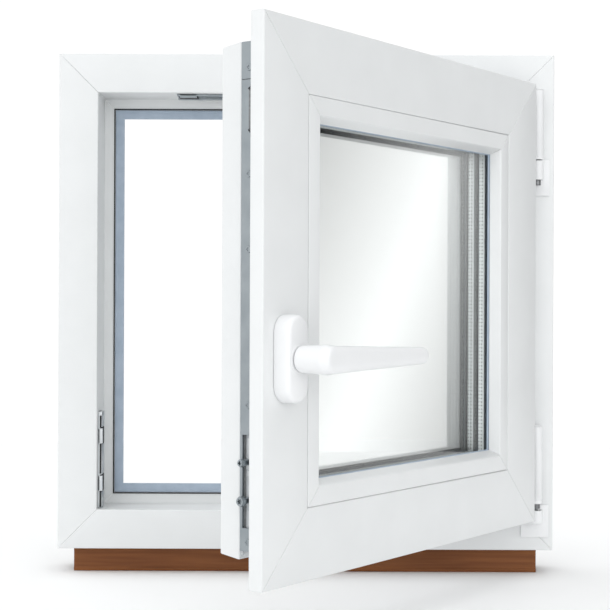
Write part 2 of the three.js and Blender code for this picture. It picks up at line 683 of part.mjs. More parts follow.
function handleRosette() {
  const halfWide = ROSETTE_WIDE / 2;
  const halfTall = ROSETTE_TALL / 2;
  const corner = 9;
  const bevel = 3;
  const shape = new THREE.Shape();
  const right = halfWide - bevel;
  const top = halfTall - bevel;
  shape.moveTo(-right + corner, -top);
  shape.lineTo(right - corner, -top);
  shape.absarc(right - corner, -top + corner, corner, -Math.PI / 2, 0, false);
  shape.lineTo(right, top - corner);
  shape.absarc(right - corner, top - corner, corner, 0, Math.PI / 2, false);
  shape.lineTo(-right + corner, top);
  shape.absarc(-right + corner, top - corner, corner, Math.PI / 2, Math.PI, false);
  shape.lineTo(-right, -top + corner);
  shape.absarc(-right + corner, -top + corner, corner, Math.PI, 1.5 * Math.PI, false);
  const options = {
    depth: ROSETTE_THICK - bevel - GAP,
    bevelThickness: bevel,
    bevelSize: bevel,
    bevelSegments: 3,
    curveSegments: 6,
  };
  const body = new THREE.ExtrudeGeometry(shape, options);
  body.rotateX(Math.PI / 2).translate(HANDLE_X, N(GAP), HANDLE_Z);
  const behind = block(
    HANDLE_X - 40, HANDLE_X + 40, N(GAP), N(-20), HANDLE_Z - 60, HANDLE_Z + 60);
  const hole = boss(HANDLE_X, HANDLE_Z, 5.6, N(30), N(-10), 28);
  return named('handle_rosette', cut(body, behind, hole), WHITE_PVC);
}

function handleLever() {
  const rootRadius = 11.2;
  const tipRadius = 7.4;
  const tipX = HANDLE_REACH - tipRadius;
  const lean = Math.asin((rootRadius - tipRadius) / tipX);
  const outline = new THREE.Shape();
  outline.absarc(0, 0, rootRadius, Math.PI / 2 - lean, -Math.PI / 2 + lean, false);
  outline.absarc(tipX, 0, tipRadius, -Math.PI / 2 + lean, Math.PI / 2 - lean, false);
  const options = {
    depth: GRIP_FRONT - GRIP_BACK - 3,
    bevelThickness: 1.5,
    bevelSize: 1.5,
    bevelOffset: -1.5,
    bevelSegments: 2,
    curveSegments: 12,
  };
  const grip = new THREE.ExtrudeGeometry(outline, options);
  grip.rotateX(Math.PI / 2).translate(HANDLE_X, N(GRIP_BACK + 1.5), HANDLE_Z);
  const neck = boss(HANDLE_X, HANDLE_Z, 10.6, N(GRIP_BACK + 4), N(ROSETTE_THICK + 0.5), 32);
  const half = SPINDLE / 2 + GAP;
  const socket = block(
    HANDLE_X - half, HANDLE_X + half, N(34), N(0), HANDLE_Z - half, HANDLE_Z + half);
  return named('handle_lever', cut(join(grip, neck), socket), WHITE_PVC);
}

function handleSpindle() {
  const half = SPINDLE / 2;
  return named('handle_spindle', block(
    HANDLE_X - half, HANDLE_X + half, N(33.5), D(28.8), HANDLE_Z - half, HANDLE_Z + half), ZINC);
}

// ---- assembly ---------------------------------------------------------------------------------

const windowUnit = new THREE.Group();

windowUnit.add(
  ...frameMembers(),
  ...frameSteels(),
  frameGasket(),
  sillProfile(),
  tiltKeep(),
  topKeep(),
  cornerBearing(),
  cornerBearingCap(),
  stayBearing(),
  hingeCover('stay_bearing_cover', 388, 408, WEB_HALF + 0.6),
  stayBearingPin(),
);

const turningParts = [
  pivotBall(),
  stayArm(),
  hingeCover('stay_arm_cover', 409, 482.6, 5),
  ...sashMembers(),
  ...sashSteels(),
  ...glazingBeads(),
  ...overlapGaskets(),
  ...glazingGaskets(),
  ...glazing(),
  ...settingBlocks(),
  lockFaceplate(),
  topFaceplate(),
  cornerDrive(),
  stayRail(),
  gearbox(),
  cornerHinge(),
  hingeCover('corner_hinge_cover', 50.5, 132, 5),
  pivotPin(),
  sideRod(),
  sideCam('roller_cam', SIDE_CAMS[0]),
  sideCam('locking_cam', SIDE_CAMS[1]),
  topRod(),
  mishandlingLever(),
  handleRosette(),
  handleLever(),
  handleSpindle(),
];

// Every part above is drawn in the closed position; the group swings them open about the hinge.
const closedPlace = new THREE.Group();
closedPlace.position.set(-HINGE_X, -HINGE_Y, 0);
closedPlace.add(...turningParts);

const swing = new THREE.Group();
swing.position.set(HINGE_X, HINGE_Y, 0);
swing.rotation.z = OPEN_ANGLE;
swing.add(closedPlace);
windowUnit.add(swing);

export default windowUnit;
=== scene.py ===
"""Looks of the tilt-and-turn window: rounded profiles, fine hardware, materials, studio and camera.

Metres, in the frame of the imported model. Pieces of the sash are drawn in the closed position and
stand at the swing that the model has at rest.
"""

import json
import math

import bmesh
import bpy
from mathutils import Matrix, Vector
from mathutils.geometry import tessellate_polygon

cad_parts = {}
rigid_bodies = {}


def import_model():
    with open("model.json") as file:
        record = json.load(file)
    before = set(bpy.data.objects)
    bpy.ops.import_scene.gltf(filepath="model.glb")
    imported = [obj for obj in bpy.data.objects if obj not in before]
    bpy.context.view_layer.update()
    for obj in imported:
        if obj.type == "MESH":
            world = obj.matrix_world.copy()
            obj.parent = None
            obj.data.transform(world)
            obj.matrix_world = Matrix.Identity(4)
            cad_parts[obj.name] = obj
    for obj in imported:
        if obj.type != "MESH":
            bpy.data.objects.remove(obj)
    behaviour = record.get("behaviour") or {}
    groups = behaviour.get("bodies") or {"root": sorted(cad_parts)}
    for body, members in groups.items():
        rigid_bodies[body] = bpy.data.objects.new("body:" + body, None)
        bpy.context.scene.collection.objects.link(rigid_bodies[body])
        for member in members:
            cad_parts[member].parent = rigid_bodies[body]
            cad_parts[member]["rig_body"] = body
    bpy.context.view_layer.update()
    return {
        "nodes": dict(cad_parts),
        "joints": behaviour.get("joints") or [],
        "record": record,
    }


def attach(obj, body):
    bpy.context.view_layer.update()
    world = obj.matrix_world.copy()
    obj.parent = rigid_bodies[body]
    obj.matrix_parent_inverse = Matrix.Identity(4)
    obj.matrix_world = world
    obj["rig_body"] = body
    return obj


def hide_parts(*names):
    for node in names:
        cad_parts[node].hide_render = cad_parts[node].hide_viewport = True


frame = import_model()

MM = 0.001
SIDES = ("bottom", "left", "top", "right")

# ---- places taken from the frame -----------------------------------------------------------------

turn = next(j for j in frame["joints"] if j["name"] == "sash_turn")
hinge = Vector(turn["pos_m"])
open_angle = -math.radians(turn["range_deg"][0])
SWING = Matrix.Translation(hinge) @ Matrix.Rotation(open_angle, 4, "Z") @ Matrix.Translation(-hinge)


def place_of(body):
    """Where a body's parts stand at rest, from where they are drawn."""
    return Matrix.Identity(4) if body == "frame" else SWING


def drawn_box(node):
    """Lowest and highest corner of a CAD node, with the window closed."""
    source = frame["nodes"][node]
    undo = place_of(source["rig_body"]).inverted()
    points = [undo @ vertex.co for vertex in source.data.vertices]
    low = Vector([min(p[i] for p in points) for i in range(3)])
    high = Vector([max(p[i] for p in points) for i in range(3)])
    return low, high


frame_low, frame_high = drawn_box("frame_bottom")[0], drawn_box("frame_top")[1]
sash_low, sash_high = drawn_box("sash_bottom")[0], drawn_box("sash_top")[1]
CENTRE_Z = (frame_low.z + frame_high.z) / 2
FRAME_HALF = (frame_high.z - frame_low.z) / 2
SASH_HALF = (sash_high.z - sash_low.z) / 2
SASH_FRONT = sash_low.y
MITRE_GAP = 0.15 * MM
WELD_ROUND = 0.35 * MM

# ---- material helpers ----------------------------------------------------------------------------


class Look:
    """A node material with one Principled shader, built up step by step."""

    def __init__(self, name, metallic=0.0, **sockets):
        self.material = bpy.data.materials.new(name)
        self.material.use_nodes = True
        self.tree = self.material.node_tree
        self.shader = self.tree.nodes["Principled BSDF"]
        self.shader.inputs["Metallic"].default_value = metallic
        for socket, value in sockets.items():
            self.shader.inputs[socket.replace("_", " ")].default_value = value
        self.place = self.tree.nodes.new("ShaderNodeTexCoord").outputs["Object"]

    def node(self, kind, **inputs):
        made = self.tree.nodes.new(kind)
        for key, value in inputs.items():
            socket = made.inputs[int(key[1:]) if key[0] == "_" else key]
            if isinstance(value, bpy.types.NodeSocket):
                self.tree.links.new(value, socket)
            else:
                socket.default_value = value
        return made

    def math(self, operation, first, second=0.0, clamp=False):
        made = self.node("ShaderNodeMath", _0=first, _1=second)
        made.operation = operation
        made.use_clamp = clamp
        return made.outputs[0]

    def noise(self, size, stretch=(1, 1, 1), detail=3.0):
        """Noise whose blobs are about size across, longer along the axes with a small stretch."""
        mapping = self.node("ShaderNodeMapping", Vector=self.place, Scale=stretch)
        made = self.node("ShaderNodeTexNoise", Vector=mapping.outputs[0], Scale=1 / size, Detail=detail)
        return made.outputs["Fac"]

    def between(self, factor, dark, light, low=0.3, high=0.7):
        """Colour that goes from dark to light as factor goes from low to high."""
        made = self.node("ShaderNodeValToRGB", Fac=factor)
        made.color_ramp.elements[0].position = low
        made.color_ramp.elements[0].color = (*dark, 1)
        made.color_ramp.elements[1].position = high
        made.color_ramp.elements[1].color = (*light, 1)
        return made.outputs["Color"]

    def ranged(self, factor, low, high):
        return self.node("ShaderNodeMapRange", Value=factor, _3=low, _4=high).outputs[0]

    def colour(self, socket):
        self.tree.links.new(socket, self.shader.inputs["Base Color"])

    def roughness(self, socket):
        self.tree.links.new(socket, self.shader.inputs["Roughness"])

    def bump(self, height, depth, under=None):
        """Relief of a real depth in metres; returns the normal for a second layer."""
        made = self.node("ShaderNodeBump", Height=height, Strength=1.0, Distance=depth)
        if under is not None:
            self.tree.links.new(under, made.inputs["Normal"])
        self.tree.links.new(made.outputs[0], self.shader.inputs["Normal"])
        return made.outputs[0]


def white_pvc():
    """Smooth extruded plastic: faint waviness, fine orange peel, satin gloss."""
    look = Look("white_pvc", Specular_IOR_Level=0.45)
    waves = look.noise(45 * MM)
    peel = look.noise(1.2 * MM, detail=2.0)
    look.colour(look.between(waves, (0.745, 0.757, 0.760), (0.770, 0.782, 0.785)))
    look.roughness(look.ranged(look.noise(9 * MM), 0.29, 0.38))
    soft = look.bump(waves, 0.06 * MM)
    look.bump(peel, 0.003 * MM, soft)
    return look.material


def moulded_white():
    """Injection-moulded plastic of the covers and the handle: whiter, with a fine texture."""
    look = Look("moulded_white", Specular_IOR_Level=0.5)
    look.colour(look.between(look.noise(25 * MM), (0.805, 0.812, 0.820), (0.825, 0.832, 0.840)))
    look.roughness(look.ranged(look.noise(4 * MM), 0.29, 0.35))
    look.bump(look.noise(1.1 * MM, detail=2.0), 0.0035 * MM)
    return look.material


def seal_grey():
    look = Look("seal_grey", Specular_IOR_Level=0.3)
    look.colour(look.between(look.noise(14 * MM), (0.34, 0.41, 0.50), (0.40, 0.47, 0.56)))
    look.roughness(look.ranged(look.noise(1.2 * MM), 0.5, 0.72))
    look.bump(look.noise(0.4 * MM), 0.03 * MM)
    return look.material


def black_rubber():
    look = Look("black_rubber", Specular_IOR_Level=0.3)
    look.colour(look.between(look.noise(6 * MM), (0.014, 0.015, 0.017), (0.035, 0.036, 0.038)))
    look.roughness(look.ranged(look.noise(1.0 * MM), 0.5, 0.75))
    look.bump(look.noise(0.3 * MM), 0.03 * MM)
    return look.material


def brown_pvc():
    """Recycled brown plastic: streaks along the profile and a dull, slightly scuffed skin."""
    look = Look("brown_pvc", Specular_IOR_Level=0.25)
    streaks = look.noise(5 * MM, stretch=(0.05, 1, 1), detail=6.0)
    look.colour(look.between(streaks, (0.15, 0.048, 0.013), (0.235, 0.085, 0.026)))
    look.roughness(look.ranged(look.noise(3 * MM, stretch=(0.1, 1, 1)), 0.42, 0.62))
    drawn = look.bump(streaks, 0.12 * MM)
    look.bump(look.noise(0.4 * MM), 0.02 * MM, drawn)
    return look.material


def zinc(name, dark, light):
    """Passivated zinc: soft cloudy patches and fine rolling scratches."""
    look = Look(name, metallic=1.0)
    clouds = look.noise(16 * MM, detail=2.0)
    scratches = look.noise(0.8 * MM, stretch=(1, 1, 0.06), detail=4.0)
    look.colour(look.between(clouds, dark, light))
    look.roughness(look.ranged(scratches, 0.31, 0.5))
    look.bump(scratches, 0.015 * MM)
    return look.material


def galvanised_steel():
    """Hot-dip zinc spangle on strip steel."""
    look = Look("galvanised_steel", metallic=1.0)
    spangle = look.node("ShaderNodeTexVoronoi", Vector=look.place, Scale=1 / (6 * MM)).outputs["Color"]
    look.colour(look.between(spangle, (0.42, 0.44, 0.46), (0.66, 0.68, 0.69), 0.1, 0.9))
    look.roughness(look.ranged(look.noise(2 * MM), 0.35, 0.55))
    look.bump(spangle, 0.02 * MM)
    return look.material


def dark_steel():
    look = Look("dark_steel", metallic=1.0)
    look.colour(look.between(look.noise(3 * MM), (0.16, 0.165, 0.17), (0.28, 0.285, 0.29)))
    look.roughness(look.ranged(look.noise(1 * MM), 0.31, 0.5))
    look.bump(look.noise(0.4 * MM, stretch=(1, 1, 8)), 0.02 * MM)
    return look.material


def perforated_aluminium():
    """Spacer strip: satin metal with two rows of small desiccant holes along it, the holes painted dark as
    the shade inside them.
    """
    look = Look("aluminium", metallic=1.0)
    place = look.node("ShaderNodeSeparateXYZ", Vector=look.place)
    along = look.math("ADD", place.outputs["X"], place.outputs["Z"])
    hole_pitch = 3.6 * MM
    row_pitch = 3.0 * MM
    step = look.math("SINE", look.math("MULTIPLY", along, math.tau / hole_pitch))
    row = look.math("SINE", look.math("MULTIPLY", place.outputs["Y"], math.tau / row_pitch))
    holes = look.math("MULTIPLY", look.math("MAXIMUM", step, 0.0), look.math("MAXIMUM", row, 0.0))
    hole_shade_mask = look.math("GREATER_THAN", holes, 0.42)
    # Painted shade: the holes get a dark colour for the shadow inside each hole, and the bump sinks them.
    look.colour(look.between(hole_shade_mask, (0.80, 0.83, 0.835), (0.16, 0.17, 0.175), 0.0, 1.0))
    look.roughness(look.ranged(look.noise(1.5 * MM), 0.32, 0.48))
    look.bump(look.math("SUBTRACT", 1.0, hole_shade_mask), 0.15 * MM)
    return look.material


def block_plastic():
    look = Look("block_plastic", Specular_IOR_Level=0.4)
    look.colour(look.between(look.noise(8 * MM), (0.04, 0.13, 0.26), (0.07, 0.2, 0.37)))
    look.roughness(look.ranged(look.noise(2 * MM), 0.4, 0.6))
    look.bump(look.noise(0.6 * MM), 0.03 * MM)
    return look.material


def clear_glass():
    """Float glass: see-through straight on, mirror-like towards grazing, with a faint green tint."""
    look = Look("glass")
    tree = look.tree
    facing = look.node("ShaderNodeLayerWeight", Blend=0.5).outputs["Facing"]
    grazing = look.math("POWER", facing, 4.0)
    mirror = look.math("ADD", look.math("MULTIPLY", grazing, 0.94), 0.056, clamp=True)
    clear = look.node("ShaderNodeBsdfTransparent", Color=(0.992, 0.996, 0.994, 1))
    waviness = look.noise(60 * MM, detail=1.0)
    ripple = look.node("ShaderNodeBump", Height=waviness, Strength=1.0, Distance=0.002 * MM)
    gloss = look.node(
        "ShaderNodeBsdfGlossy", Color=(0.985, 0.99, 0.988, 1), Roughness=0.02, Normal=ripple.outputs[0])
    mixed = look.node("ShaderNodeMixShader", _0=mirror, _1=clear.outputs[0], _2=gloss.outputs[0])
    tree.nodes.remove(look.shader)
    tree.links.new(mixed.outputs[0], tree.nodes["Material Output"].inputs["Surface"])
    return look.material


LOOKS = {
    "white_pvc": white_pvc(),
    "seal_grey": seal_grey(),
    "black_rubber": black_rubber(),
    "brown_pvc": brown_pvc(),
    # Darker copy of zinc; on the top keep its darkness stands in for the shade that keep sits in.
    "zinc": zinc("zinc", (0.29, 0.32, 0.34), (0.34, 0.37, 0.39)),
    "galvanised_steel": galvanised_steel(),
    "dark_steel": dark_steel(),
    "aluminium": perforated_aluminium(),
    "glass": clear_glass(),
    "block_plastic": block_plastic(),
}
MOULDED = moulded_white()
# Lighter copy of the same zinc for the tilt keep: painted light for the light that keep catches.
LIT_ZINC_COPY = zinc("zinc_lit_copy", (0.60, 0.63, 0.65), (0.72, 0.74, 0.75))

# ---- mesh helpers --------------------------------------------------------------------------------


def piece_from(name, bm, body, slot, replaced=(), look=None):
    """Turns drawn geometry into a piece that rides on a body and may stand for CAD nodes."""
    bmesh.ops.remove_doubles(bm, verts=bm.verts, dist=1e-6)
    bmesh.ops.recalc_face_normals(bm, faces=bm.faces)
    mesh = bpy.data.meshes.new(name)
    bm.to_mesh(mesh)
    bm.free()
    mesh.shade_smooth()
    mesh.set_sharp_from_angle(angle=math.radians(38))
    mesh.materials.append(look or LOOKS[slot])
    piece = bpy.data.objects.new(name, mesh)
    bpy.context.scene.collection.objects.link(piece)
    piece.matrix_world = place_of(body)
    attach(piece, body)
    if replaced:
        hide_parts(*replaced)
    return piece


def bridge(bm, rings, closed=False):
    """Quads between rings of vertices, and from the last ring to the first if closed."""
    pairs = list(zip(rings, rings[1:]))
    if closed:
        pairs.append((rings[-1], rings[0]))
    for lower, upper in pairs:
        for k in range(len(lower)):
            n = (k + 1) % len(lower)
            bm.faces.new((lower[k], lower[n], upper[n], upper[k]))


def signed_area(loop):
    return sum(loop[k - 1].x * p.y - p.x * loop[k - 1].y for k, p in enumerate(loop)) / 2


def corners_only(loop):
    """Loop without the points that lie on a straight side, running anticlockwise."""
    kept = []
    for k, point in enumerate(loop):
        before = point - loop[k - 1]
        after = loop[(k + 1) % len(loop)] - point
        if before.length > 1e-6 and before.angle(after) > 0.02:
            kept.append(point)
    return kept if signed_area(kept) > 0 else kept[::-1]


def rounded(loop, radius, steps=3):
    """Loop with its corners eased; short sides keep a little straight length."""
    eased = []
    for k, point in enumerate(loop):
        back = loop[k - 1] - point
        ahead = loop[(k + 1) % len(loop)] - point
        reach = radius / math.tan(back.angle(ahead) / 2)
        reach = min(reach, 0.42 * back.length, 0.42 * ahead.length)
        start = point + back.normalized() * reach
        end = point + ahead.normalized() * reach
        for i in range(steps + 1):
            t = i / steps
            eased.append(start * (1 - t) ** 2 + point * 2 * t * (1 - t) + end * t ** 2)
    return eased


def shrunk(loop, amount):
    """Anticlockwise loop moved inwards by a small amount."""
    moved = []
    for k, point in enumerate(loop):
        along = (loop[(k + 1) % len(loop)] - loop[k - 1]).normalized()
        moved.append(point + Vector((-along.y, along.x)) * amount)
    return moved


def section_loops(node, half):
    """Section of a square member or ring on the hinge side: points are (inward, depth).

    The largest loop comes first; the rest are chambers."""
    source = frame["nodes"][node]
    bm = bmesh.new()
    bm.from_mesh(source.data)
    bm.transform(place_of(source["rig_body"]).inverted())
    bmesh.ops.remove_doubles(bm, verts=bm.verts, dist=1e-6)
    everything = bm.verts[:] + bm.edges[:] + bm.faces[:]
    bmesh.ops.bisect_plane(
        bm, geom=everything, plane_co=(0, 0, CENTRE_Z), plane_no=(0, 0, 1),
        clear_inner=True, clear_outer=True)
    loops = []
    seen = set()
    for first in bm.verts:
        loop = []
        vertex = first
        while vertex not in seen:
            seen.add(vertex)
            loop.append(Vector((half - vertex.co.x, vertex.co.y)))
            others = [edge.other_vert(vertex) for edge in vertex.link_edges]
            vertex = next((other for other in others if other not in seen), vertex)
        if len(loop) > 2 and first.co.x > 0:
            loops.append(corners_only(loop))
    bm.free()
    return sorted(loops, key=signed_area, reverse=True)


def on_side(bm, side):
    """Turns bottom-side geometry about the window's centre to the named side."""
    turned = Matrix.Rotation(SIDES.index(side) * math.pi / 2, 4, "Y")
    bm.transform(Matrix.Translation((0, 0, CENTRE_Z)) @ turned)


def mitred_bar(outline, chambers, half):
    """Bottom bar of a square with mitred ends, eased where the next bar is welded on."""
    bm = bmesh.new()

    def ring(loop, end, back):
        reach = half - MITRE_GAP - back
        return [bm.verts.new((end * (reach - p.x), p.y, p.x - half)) for p in loop]

    small = shrunk(outline, WELD_ROUND)
    rings = [
        ring(small, -1, 0), ring(outline, -1, WELD_ROUND),
        ring(outline, 1, WELD_ROUND), ring(small, 1, 0),
    ]
    bridge(bm, rings)
    tubes = [[ring(loop, end, 0) for end in (-1, 1)] for loop in chambers]
    for tube in tubes:
        bridge(bm, tube)
    flat = [[p.to_3d() for p in loop] for loop in (small, *chambers)]
    for which, outer in ((0, rings[0]), (1, rings[-1])):
        corners = outer + [v for tube in tubes for v in tube[which]]
        for triangle in tessellate_polygon(flat):
            bm.faces.new([corners[i] for i in triangle])
    return bm


def square_ring(outline, half):
    """Closed ring round the window's centre with the outline as its section."""
    bm = bmesh.new()
    corners = ((1, -1), (1, 1), (-1, 1), (-1, -1))
    rings = [
        [bm.verts.new((x * (half - p.x), p.y, CENTRE_Z + z * (half - p.x))) for p in outline]
        for x, z in corners
    ]
    bridge(bm, rings, closed=True)
    return bm


def rectangle(a0, a1, d0, d1):
    return [Vector((a0, d0)), Vector((a1, d0)), Vector((a1, d1)), Vector((a0, d1))]


def turned_shell(profile, axis, sweep=math.tau, start=0.0, steps=48):
    """Profile of (radius, height) points turned about an upright axis, all round or part of it."""
    bm = bmesh.new()
    whole = sweep == math.tau
    rings = []
    for i in range(steps if whole else steps + 1):
        angle = start + sweep * i / steps
        side = Vector((math.cos(angle), math.sin(angle), 0))
        rings.append([bm.verts.new(axis + side * r + Vector((0, 0, z))) for r, z in profile])
    bridge(bm, rings, closed=whole)
    if not whole:
        bm.faces.new(rings[0])
        bm.faces.new(rings[-1])
    bmesh.ops.remove_doubles(bm, verts=bm.verts, dist=1e-7)
    on_axis = [edge for edge in bm.edges if not edge.link_faces]
    bmesh.ops.delete(bm, geom=on_axis, context="EDGES")
    return bm


def eased_block(low, high, ease):
    """Block with eased edges."""
    bm = bmesh.new()
    bmesh.ops.create_cube(bm, size=1)
    middle = (low + high) / 2
    for vertex in bm.verts:
        vertex.co = Vector([middle[i] + vertex.co[i] * (high[i] - low[i]) for i in range(3)])
    bmesh.ops.bevel(
        bm, geom=bm.edges[:] + bm.verts[:], offset=ease, segments=2, profile=0.5, affect="EDGES")
    return bm


def merge(parts):
    """One bmesh from several."""
    whole = bmesh.new()
    for part in parts:
        mesh = bpy.data.meshes.new("part")
        part.to_mesh(mesh)
        part.free()
        whole.from_mesh(mesh)
        bpy.data.meshes.remove(mesh)
    return whole


def baked(piece):
    """Replaces a piece's mesh by what its modifiers make of it."""
    graph = bpy.context.evaluated_depsgraph_get()
    mesh = bpy.data.meshes.new_from_object(piece.evaluated_get(graph))
    piece.modifiers.clear()
    piece.data = mesh
    mesh.shade_smooth()
    return piece


# ---- profiles ------------------------------------------------------------------------------------


def profile_bars():
    """Frame members, sash members and beads: (name, body, half size of the square, corner round)."""
    sets = (
        ("frame", "frame", FRAME_HALF, 1.0 * MM),
        ("sash", "sash", SASH_HALF, 1.3 * MM),
        ("glazing_bead", "sash", SASH_HALF, 0.6 * MM),
    )
    for prefix, body, half, ease in sets:
        outline, *chambers = section_loops(f"{prefix}_right", half)
        outline = rounded(outline, ease)
        for side in SIDES:
            bm = mitred_bar(outline, chambers, half)
            on_side(bm, side)
            node = f"{prefix}_{side}"
            piece_from(f"{node}_profile", bm, body, "white_pvc", [node])


def cut_handle_bore():
    """Opens the lock-side stile for the spindle and the gearbox behind the handle."""
    low, high = drawn_box("gearbox")
    margin = Vector((0.3 * MM, 0.3 * MM, 3 * MM))
    pocket = eased_block(low - margin, high + margin, 0.1 * MM)
    radius = 6 * MM
    depth = high.y - SASH_FRONT
    bore = turned_shell([(0, -MM), (radius, -MM), (radius, depth), (0, depth)], Vector())
    facing(bore, Vector((handle_centre.x, SASH_FRONT, handle_centre.z)), (0, 1, 0))
    stile = bpy.data.objects["sash_left_profile"]
    cutters = [
        piece_from("pocket", pocket, "sash", "white_pvc"),
        piece_from("bore", bore, "sash", "white_pvc"),
    ]
    for cutter in cutters:
        cut = stile.modifiers.new(cutter.name, "BOOLEAN")
        cut.object = cutter
        cut.solver = "EXACT"
    baked(stile)
    stile.data.set_sharp_from_angle(angle=math.radians(38))
    for cutter in cutters:
        bpy.data.objects.remove(cutter)


def seals():
    """Seals as mitred rings, and a black strip beside the frame seal that is painted shade for the shadow
    line in the seal's groove.
    """
    for node, body, half, slot in (
        ("frame_gasket", "frame", FRAME_HALF, "seal_grey"),
        ("glazing_gasket_room_side", "sash", SASH_HALF, "seal_grey"),
        ("glazing_gasket_outside", "sash", SASH_HALF, "black_rubber"),
    ):
        outline = rounded(section_loops(node, half)[0], 0.8 * MM)
        piece_from(f"{node}_ring", square_ring(outline, half), body, slot, [node])
    # Black strip along the seal's outer edge: painted shade for the shadow in the groove the seal sits in.
    seal = section_loops("frame_gasket", FRAME_HALF)[0]
    edge = min(p.x for p in seal)
    back = max(p.y for p in seal)
    clear, wide, tall = 0.1 * MM, 1.2 * MM, 0.6 * MM
    foot = rectangle(edge - clear - wide, edge - clear, back - tall, back)
    piece_from("frame_gasket_groove_shade", square_ring(foot, FRAME_HALF), "frame", "black_rubber")


def spacers():
    """Perforated spacer bars with a dark butyl bead against each pane."""
    bead = 0.6 * MM
    bead_back = 0.4 * MM
    for node in ("glass_spacer_room_side", "glass_spacer_outside"):
        loop = section_loops(node, SASH_HALF)[0]
        a0, a1 = min(p.x for p in loop), max(p.x for p in loop)
        d0, d1 = min(p.y for p in loop), max(p.y for p in loop)
        bar = rounded(rectangle(a0, a1, d0 + bead, d1 - bead), 0.5 * MM)
        piece_from(f"{node}_bar", square_ring(bar, SASH_HALF), "sash", "aluminium", [node])
        beads = [
            square_ring(rectangle(a0, a1 - bead_back, d0, d0 + bead), SASH_HALF),
            square_ring(rectangle(a0, a1 - bead_back, d1 - bead, d1), SASH_HALF),
        ]
        piece_from(f"{node}_butyl", merge(beads), "sash", "black_rubber")


def sill():
    """Brown profile under the frame: two open bays and shallow grooves on both long faces."""
    low, high = drawn_box("sill_profile")
    wall = 2.5 * MM
    dent = 0.8 * MM
    foot = 3.5 * MM
    head = 3.0 * MM
    middle = (low.y + high.y) / 2

    def points(pairs):
        return [Vector(pair) for pair in pairs]

    outline = points([
        (low.y, low.z), (high.y, low.z), (high.y, low.z + foot), (high.y - dent, low.z + foot + dent),
        (high.y - dent, high.z - head - dent), (high.y, high.z - head), (high.y, high.z),
        (low.y, high.z), (low.y, high.z - head), (low.y + dent, high.z - head - dent),
        (low.y + dent, low.z + foot + dent), (low.y, low.z + foot),
    ])
    outline = rounded(outline, 0.5 * MM, steps=2)
    bays = [
        rectangle(low.y + wall, middle - wall / 2, low.z + wall, high.z - wall),
        rectangle(middle + wall / 2, high.y - wall, low.z + wall, high.z - wall),
    ]
    bm = bmesh.new()

    def ring(loop, x):
        return [bm.verts.new((x, p.x, p.y)) for p in loop]

    tubes = [[ring(loop, x) for x in (low.x, high.x)] for loop in (outline, *bays)]
    for tube in tubes:
        bridge(bm, tube)
    flat = [[p.to_3d() for p in loop] for loop in (outline, *bays)]
    for end in (0, 1):
        corners = [v for tube in tubes for v in tube[end]]
        for triangle in tessellate_polygon(flat):
            bm.faces.new([corners[i] for i in triangle])
    piece_from("sill_profile_ribbed", bm, "frame", "brown_pvc", ["sill_profile"])


# ---- screws and small hardware -------------------------------------------------------------------


def recessed_head(radius, height, lobes, recess):
    """Round head facing +Z at the origin, with a lobed recess; the back lies at -Z."""
    bm = bmesh.new()
    steps = 48
    rim = radius - 0.25 * height
    levels = (
        (radius, 0.0, 0.0), (radius, 0.0, 0.55 * height), (rim, 0.0, height),
        (recess, 0.3, height), (recess * 0.92, 0.3, 0.35 * height), (recess * 0.45, 0.1, 0.25 * height),
    )
    rings = []
    for reach, wave, z in levels:
        ring = []
        for k in range(steps):
            angle = math.tau * k / steps
            r = reach * (1 + wave * math.cos(lobes * angle))
            ring.append(bm.verts.new((r * math.cos(angle), r * math.sin(angle), z)))
        rings.append(ring)
    bridge(bm, rings)
    bm.faces.new(rings[0])
    bm.faces.new(rings[-1])
    return bm


def facing(bm, place, direction):
    """Moves +Z geometry to a place, looking along a direction."""
    turned = Vector(direction).to_track_quat("Z", "Y").to_matrix().to_4x4()
    bm.transform(Matrix.Translation(place) @ turned)
    return bm


def screws():
    """Screw heads on the lock edge and the top edge, at shares of each plate's length."""
    head = (2.9 * MM, 0.7 * MM, 4, 1.25 * MM)
    corner_step = 9 * MM
    low, high = drawn_box("lock_faceplate")
    y = (low.y + high.y) / 2
    out = Vector((-1, 0, 0))
    heights = [low.z + share * (high.z - low.z) for share in (0.02, 0.31, 0.64, 0.80)]
    parts = [facing(recessed_head(*head), Vector((low.x, y, z)), out) for z in heights]
    for node, shares in (("top_faceplate", (0.45, 0.68, 0.93)), ("stay_rail", (0.5, 0.93))):
        low, high = drawn_box(node)
        for share in shares:
            spot = Vector((low.x + share * (high.x - low.x), y, high.z))
            parts.append(facing(recessed_head(*head), spot, (0, 0, 1)))
    low, high = drawn_box("corner_drive")
    parts.append(facing(recessed_head(*head), Vector((low.x, y, low.z + corner_step)), out))
    parts.append(facing(recessed_head(*head), Vector((high.x - corner_step, y, high.z)), (0, 0, 1)))
    piece_from("sash_screws", merge(parts), "sash", "zinc")


def painted_gap_shade(corner, z0, z1):
    """Black strip along the front of the keep's wall: painted shade for the shadow in the narrow gap there.
    """
    return eased_block(
        Vector((corner.x + 0.3 * MM, corner.y + 0.3 * MM, z0)),
        Vector((corner.x + 3.5 * MM, corner.y + 1.1 * MM, z1)), 0.2 * MM)


